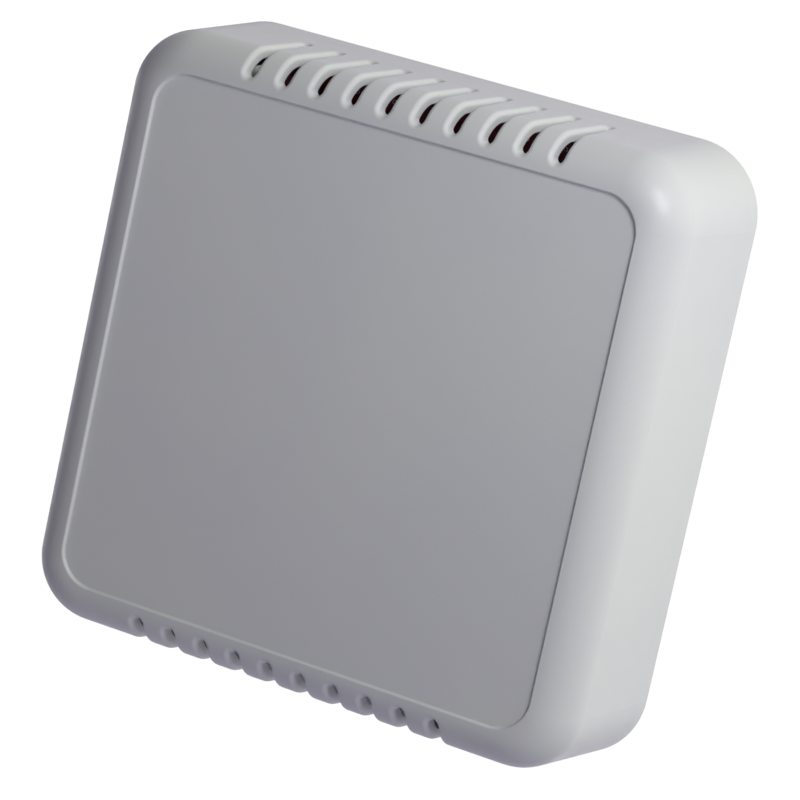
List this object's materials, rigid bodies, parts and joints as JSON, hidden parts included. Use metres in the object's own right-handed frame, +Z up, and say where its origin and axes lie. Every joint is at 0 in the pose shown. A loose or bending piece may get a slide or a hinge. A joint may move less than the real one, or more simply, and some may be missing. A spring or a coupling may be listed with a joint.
{
  "type": "wireless access point",
  "caption": "Compact square wireless access point: clip-on vented cover with a sunken plain front, over a wall plate that carries the board, jack, radio and antennas.",
  "frame": {"origin": "centre of the mounting face, on the plane of the wall or ceiling", "axes": "+X right and +Z up as seen from the front, the front faces -Y, +Y points into the wall"},
  "size_m": [0.086, 0.025, 0.086],
  "materials": {
    "case_plastic": "fine satin moulded ABS, white with a cool grey cast",
    "grommet_rubber": "matte",
    "circuit_board": "satin dark red solder mask over glass laminate",
    "screw_steel": "zinc plated, satin",
    "tin_plate": "tin plated sheet, satin",
    "black_nylon": "satin glass-filled nylon",
    "light_pipe": "clear glossy",
    "gold_contact": "gold flash, polished",
    "moulded_epoxy": "fine matte epoxy",
    "terminal_nylon": "satin green nylon",
    "ferrite": "sintered, dull",
    "winding_tape": "polyester tape, glossy",
    "capacitor_can": "drawn aluminium with a dark sleeve",
    "fuse_ceramic": "glazed ceramic body",
    "thermal_pad": "soft silicone, matte",
    "heat_sink_aluminium": "extruded, clear anodised",
    "white_nylon": "satin nylon",
    "antenna_sheet": "nickel plated stamping, satin",
    "led_resin": "clear resin over a yellow phosphor",
    "resistor_body": "glazed black top, tinned ends",
    "capacitor_ceramic": "fired ceramic, tinned ends"
  },
  "bodies": {
    "base": {"antenna_lower_left": "antenna_sheet", "antenna_lower_right": "antenna_sheet", "antenna_upper_left": "antenna_sheet", "antenna_upper_right": "antenna_sheet", "back_plate": "case_plastic", "board_screws": "screw_steel", "bulk_capacitors": "capacitor_can", "chip_capacitors": "capacitor_ceramic", "chip_resistors": "resistor_body", "crystal": "tin_plate", "debug_header": "black_nylon", "debug_header_pins": "gold_contact", "entry_grommet": "grommet_rubber", "fuse": "fuse_ceramic", "heat_sink": "heat_sink_aluminium", "heat_sink_pins": "white_nylon", "jack_contacts": "gold_contact", "jack_insert": "black_nylon", "jack_lights": "light_pipe", "jack_shell": "tin_plate", "lan_magnetics": "moulded_epoxy", "lan_magnetics_pins": "tin_plate", "main_board": "circuit_board", "memory_chip": "moulded_epoxy", "power_chips": "moulded_epoxy", "power_inductor": "ferrite", "radio_chip": "moulded_epoxy", "rectifier_diodes": "moulded_epoxy", "reset_switch_base": "black_nylon", "reset_switch_cover": "tin_plate", "shield_frame": "tin_plate", "shield_lid": "tin_plate", "status_leds": "led_resin", "terminal_housing": "terminal_nylon", "terminal_pins": "tin_plate", "thermal_pad_lower": "thermal_pad", "thermal_pad_upper": "thermal_pad", "transformer_bobbin": "black_nylon", "transformer_core": "ferrite", "transformer_pins": "tin_plate", "transformer_winding": "winding_tape"},
    "cover": {"front_cover": "case_plastic"},
    "reset_button": {"reset_plunger": "black_nylon"},
    "plus_screw": {"terminal_screw_plus": "screw_steel"},
    "minus_screw": {"terminal_screw_minus": "screw_steel"},
    "plus_cage": {"terminal_cage_plus": "tin_plate"},
    "minus_cage": {"terminal_cage_minus": "tin_plate"}
  },
  "joints": [
    {"name": "cover_pull", "type": "slide", "parent": "base", "child": "cover", "axis": [0, -1, 0], "range_m": [0, 0.04]},
    {"name": "reset_press", "type": "slide", "parent": "base", "child": "reset_button", "axis": [0, 1, 0], "range_m": [0, 0.00025], "stiffness_N_per_m": 4000},
    {"name": "plus_screw_turn", "type": "hinge", "parent": "base", "child": "plus_screw", "pos_m": [-0.0198, -0.017, -0.02238], "axis": [0, 1, 0], "range_deg": [0, 1080]},
    {"name": "plus_cage_lift", "type": "slide", "parent": "base", "child": "plus_cage", "axis": [0, -1, 0], "range_m": [0, 0.0015]},
    {"name": "minus_screw_turn", "type": "hinge", "parent": "base", "child": "minus_screw", "pos_m": [-0.0198, -0.017, -0.02746], "axis": [0, 1, 0], "range_deg": [0, 1080]},
    {"name": "minus_cage_lift", "type": "slide", "parent": "base", "child": "minus_cage", "axis": [0, -1, 0], "range_m": [0, 0.0015]}
  ],
  "couplings": [
    {"joint": "plus_screw_turn", "follows": "plus_cage_lift", "rad_per_m": 12560},
    {"joint": "minus_screw_turn", "follows": "minus_cage_lift", "rad_per_m": 12560}
  ]
}
